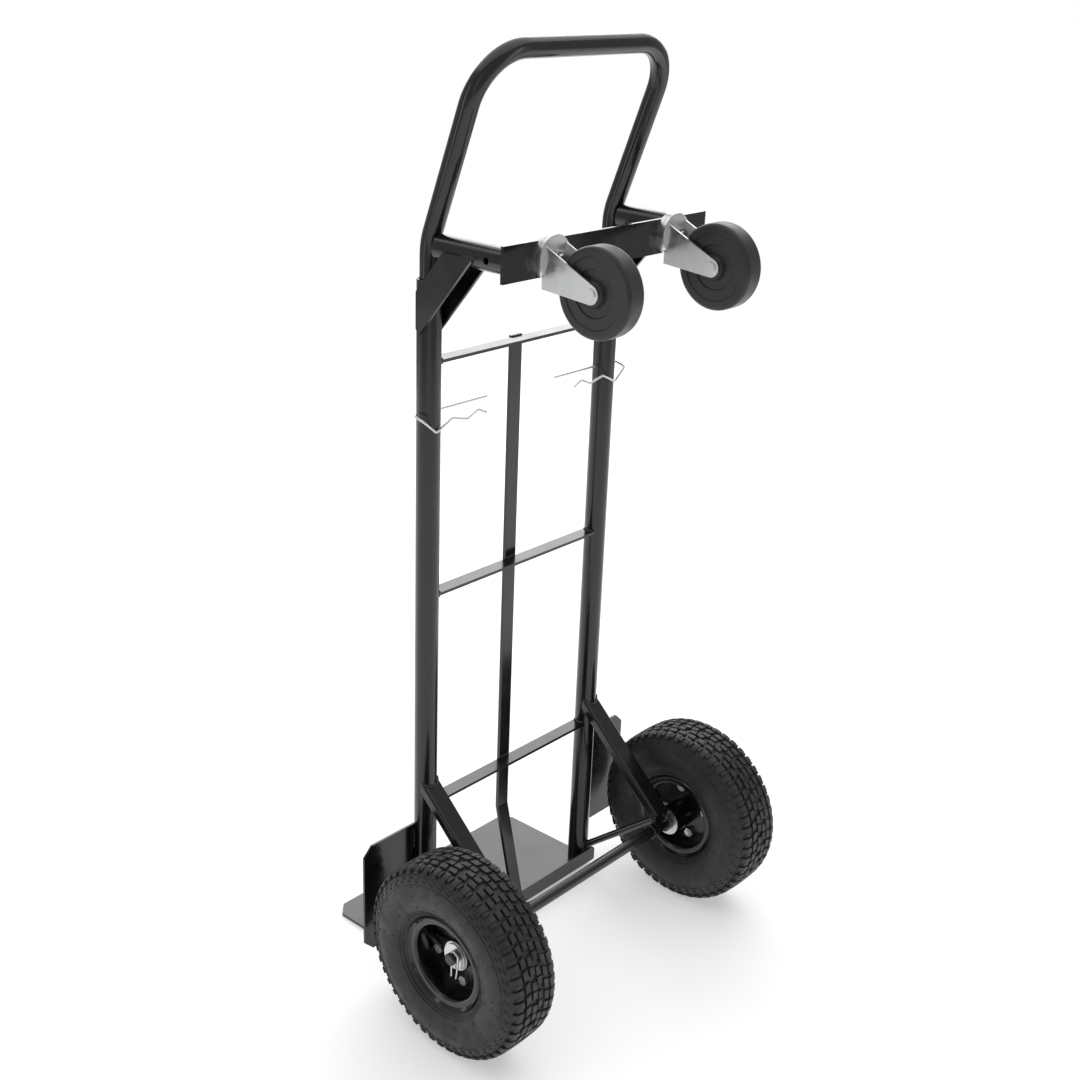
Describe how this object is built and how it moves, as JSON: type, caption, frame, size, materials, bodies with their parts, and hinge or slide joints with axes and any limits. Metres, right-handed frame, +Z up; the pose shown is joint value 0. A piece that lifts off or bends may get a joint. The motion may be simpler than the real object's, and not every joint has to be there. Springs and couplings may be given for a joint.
{
  "type": "hand truck",
  "caption": "Two-in-one tubular hand truck with a loop handle, toe plate, pneumatic wheels, wheel guards and swivel casters behind the handle for use as a low cart.",
  "frame": {"origin": "on the ground, under the middle of the truck's overall box", "axes": "+X towards the left-hand side of the person who pushes it, +Y back towards that person, +Z up along the uprights"},
  "size_m": [0.5582, 0.441, 1.208],
  "materials": {
    "frame_paint": "gloss black enamel",
    "rim_paint": "gloss black enamel",
    "tyre": "moulded rubber with open tread",
    "tube_rubber": "smooth",
    "valve": "rubber stem with a metal tip",
    "caster_rubber": "satin",
    "zinc_steel": "bright zinc plating"
  },
  "bodies": {
    "frame": {"axle": "frame_paint", "axle_cotters": "zinc_steel", "axle_spacers": "frame_paint", "axle_washers": "zinc_steel", "caster_crossbar": "frame_paint", "centre_bar": "frame_paint", "handle": "frame_paint", "king_nuts": "zinc_steel", "king_pins": "zinc_steel", "left_brace": "frame_paint", "left_inner_gusset": "frame_paint", "left_outer_gusset": "frame_paint", "left_socket_arm": "frame_paint", "left_strut": "frame_paint", "left_swivel_race": "zinc_steel", "left_upright": "frame_paint", "left_wheel_guard": "frame_paint", "lower_strap": "frame_paint", "middle_strap": "frame_paint", "right_brace": "frame_paint", "right_inner_gusset": "frame_paint", "right_outer_gusset": "frame_paint", "right_socket_arm": "frame_paint", "right_strut": "frame_paint", "right_swivel_race": "zinc_steel", "right_upright": "frame_paint", "right_wheel_guard": "frame_paint", "toe_plate": "frame_paint", "upper_strap": "frame_paint"},
    "left_wheel": {"left_tyre": "tyre", "left_inner_tube": "tube_rubber", "left_valve_stem": "valve", "left_outer_rim": "rim_paint", "left_inner_rim": "rim_paint", "left_hub": "rim_paint", "left_wheel_bearings": "zinc_steel", "left_rim_bolts": "zinc_steel", "left_rim_nuts": "zinc_steel"},
    "left_caster_fork": {"left_caster_fork": "zinc_steel", "left_caster_rivet": "zinc_steel", "left_swivel_balls": "zinc_steel"},
    "left_caster_wheel": {"left_caster_wheel": "caster_rubber", "left_caster_sleeve": "zinc_steel"},
    "left_clip": {"left_hairpin_clip": "zinc_steel"},
    "right_wheel": {"right_tyre": "tyre", "right_inner_tube": "tube_rubber", "right_valve_stem": "valve", "right_outer_rim": "rim_paint", "right_inner_rim": "rim_paint", "right_hub": "rim_paint", "right_wheel_bearings": "zinc_steel", "right_rim_bolts": "zinc_steel", "right_rim_nuts": "zinc_steel"},
    "right_caster_fork": {"right_caster_fork": "zinc_steel", "right_caster_rivet": "zinc_steel", "right_swivel_balls": "zinc_steel"},
    "right_caster_wheel": {"right_caster_wheel": "caster_rubber", "right_caster_sleeve": "zinc_steel"},
    "right_clip": {"right_hairpin_clip": "zinc_steel"}
  },
  "joints": [
    {"name": "left_wheel_spin", "type": "hinge", "parent": "frame", "child": "left_wheel", "pos_m": [0.235, 0.0905, 0.13], "axis": [1, 0, 0], "continuous": true},
    {"name": "left_caster_swivel", "type": "hinge", "parent": "frame", "child": "left_caster_fork", "pos_m": [0.1084, 0.087, 0.984], "axis": [0, 1, 0], "continuous": true},
    {"name": "left_caster_wheel_spin", "type": "hinge", "parent": "left_caster_fork", "child": "left_caster_wheel", "pos_m": [0.1084, 0.1562, 0.9568], "axis": [1, 0, 0], "continuous": true},
    {"name": "left_clip_pull", "type": "slide", "parent": "frame", "child": "left_clip", "axis": [1, 0, 0], "range_m": [0, 0.13]},
    {"name": "right_wheel_spin", "type": "hinge", "parent": "frame", "child": "right_wheel", "pos_m": [-0.235, 0.0905, 0.13], "axis": [1, 0, 0], "continuous": true},
    {"name": "right_caster_swivel", "type": "hinge", "parent": "frame", "child": "right_caster_fork", "pos_m": [-0.1084, 0.087, 0.984], "axis": [0, 1, 0], "continuous": true},
    {"name": "right_caster_wheel_spin", "type": "hinge", "parent": "right_caster_fork", "child": "right_caster_wheel", "pos_m": [-0.1084, 0.1562, 0.9568], "axis": [1, 0, 0], "continuous": true},
    {"name": "right_clip_pull", "type": "slide", "parent": "frame", "child": "right_clip", "axis": [-1, 0, 0], "range_m": [0, 0.13]}
  ]
}
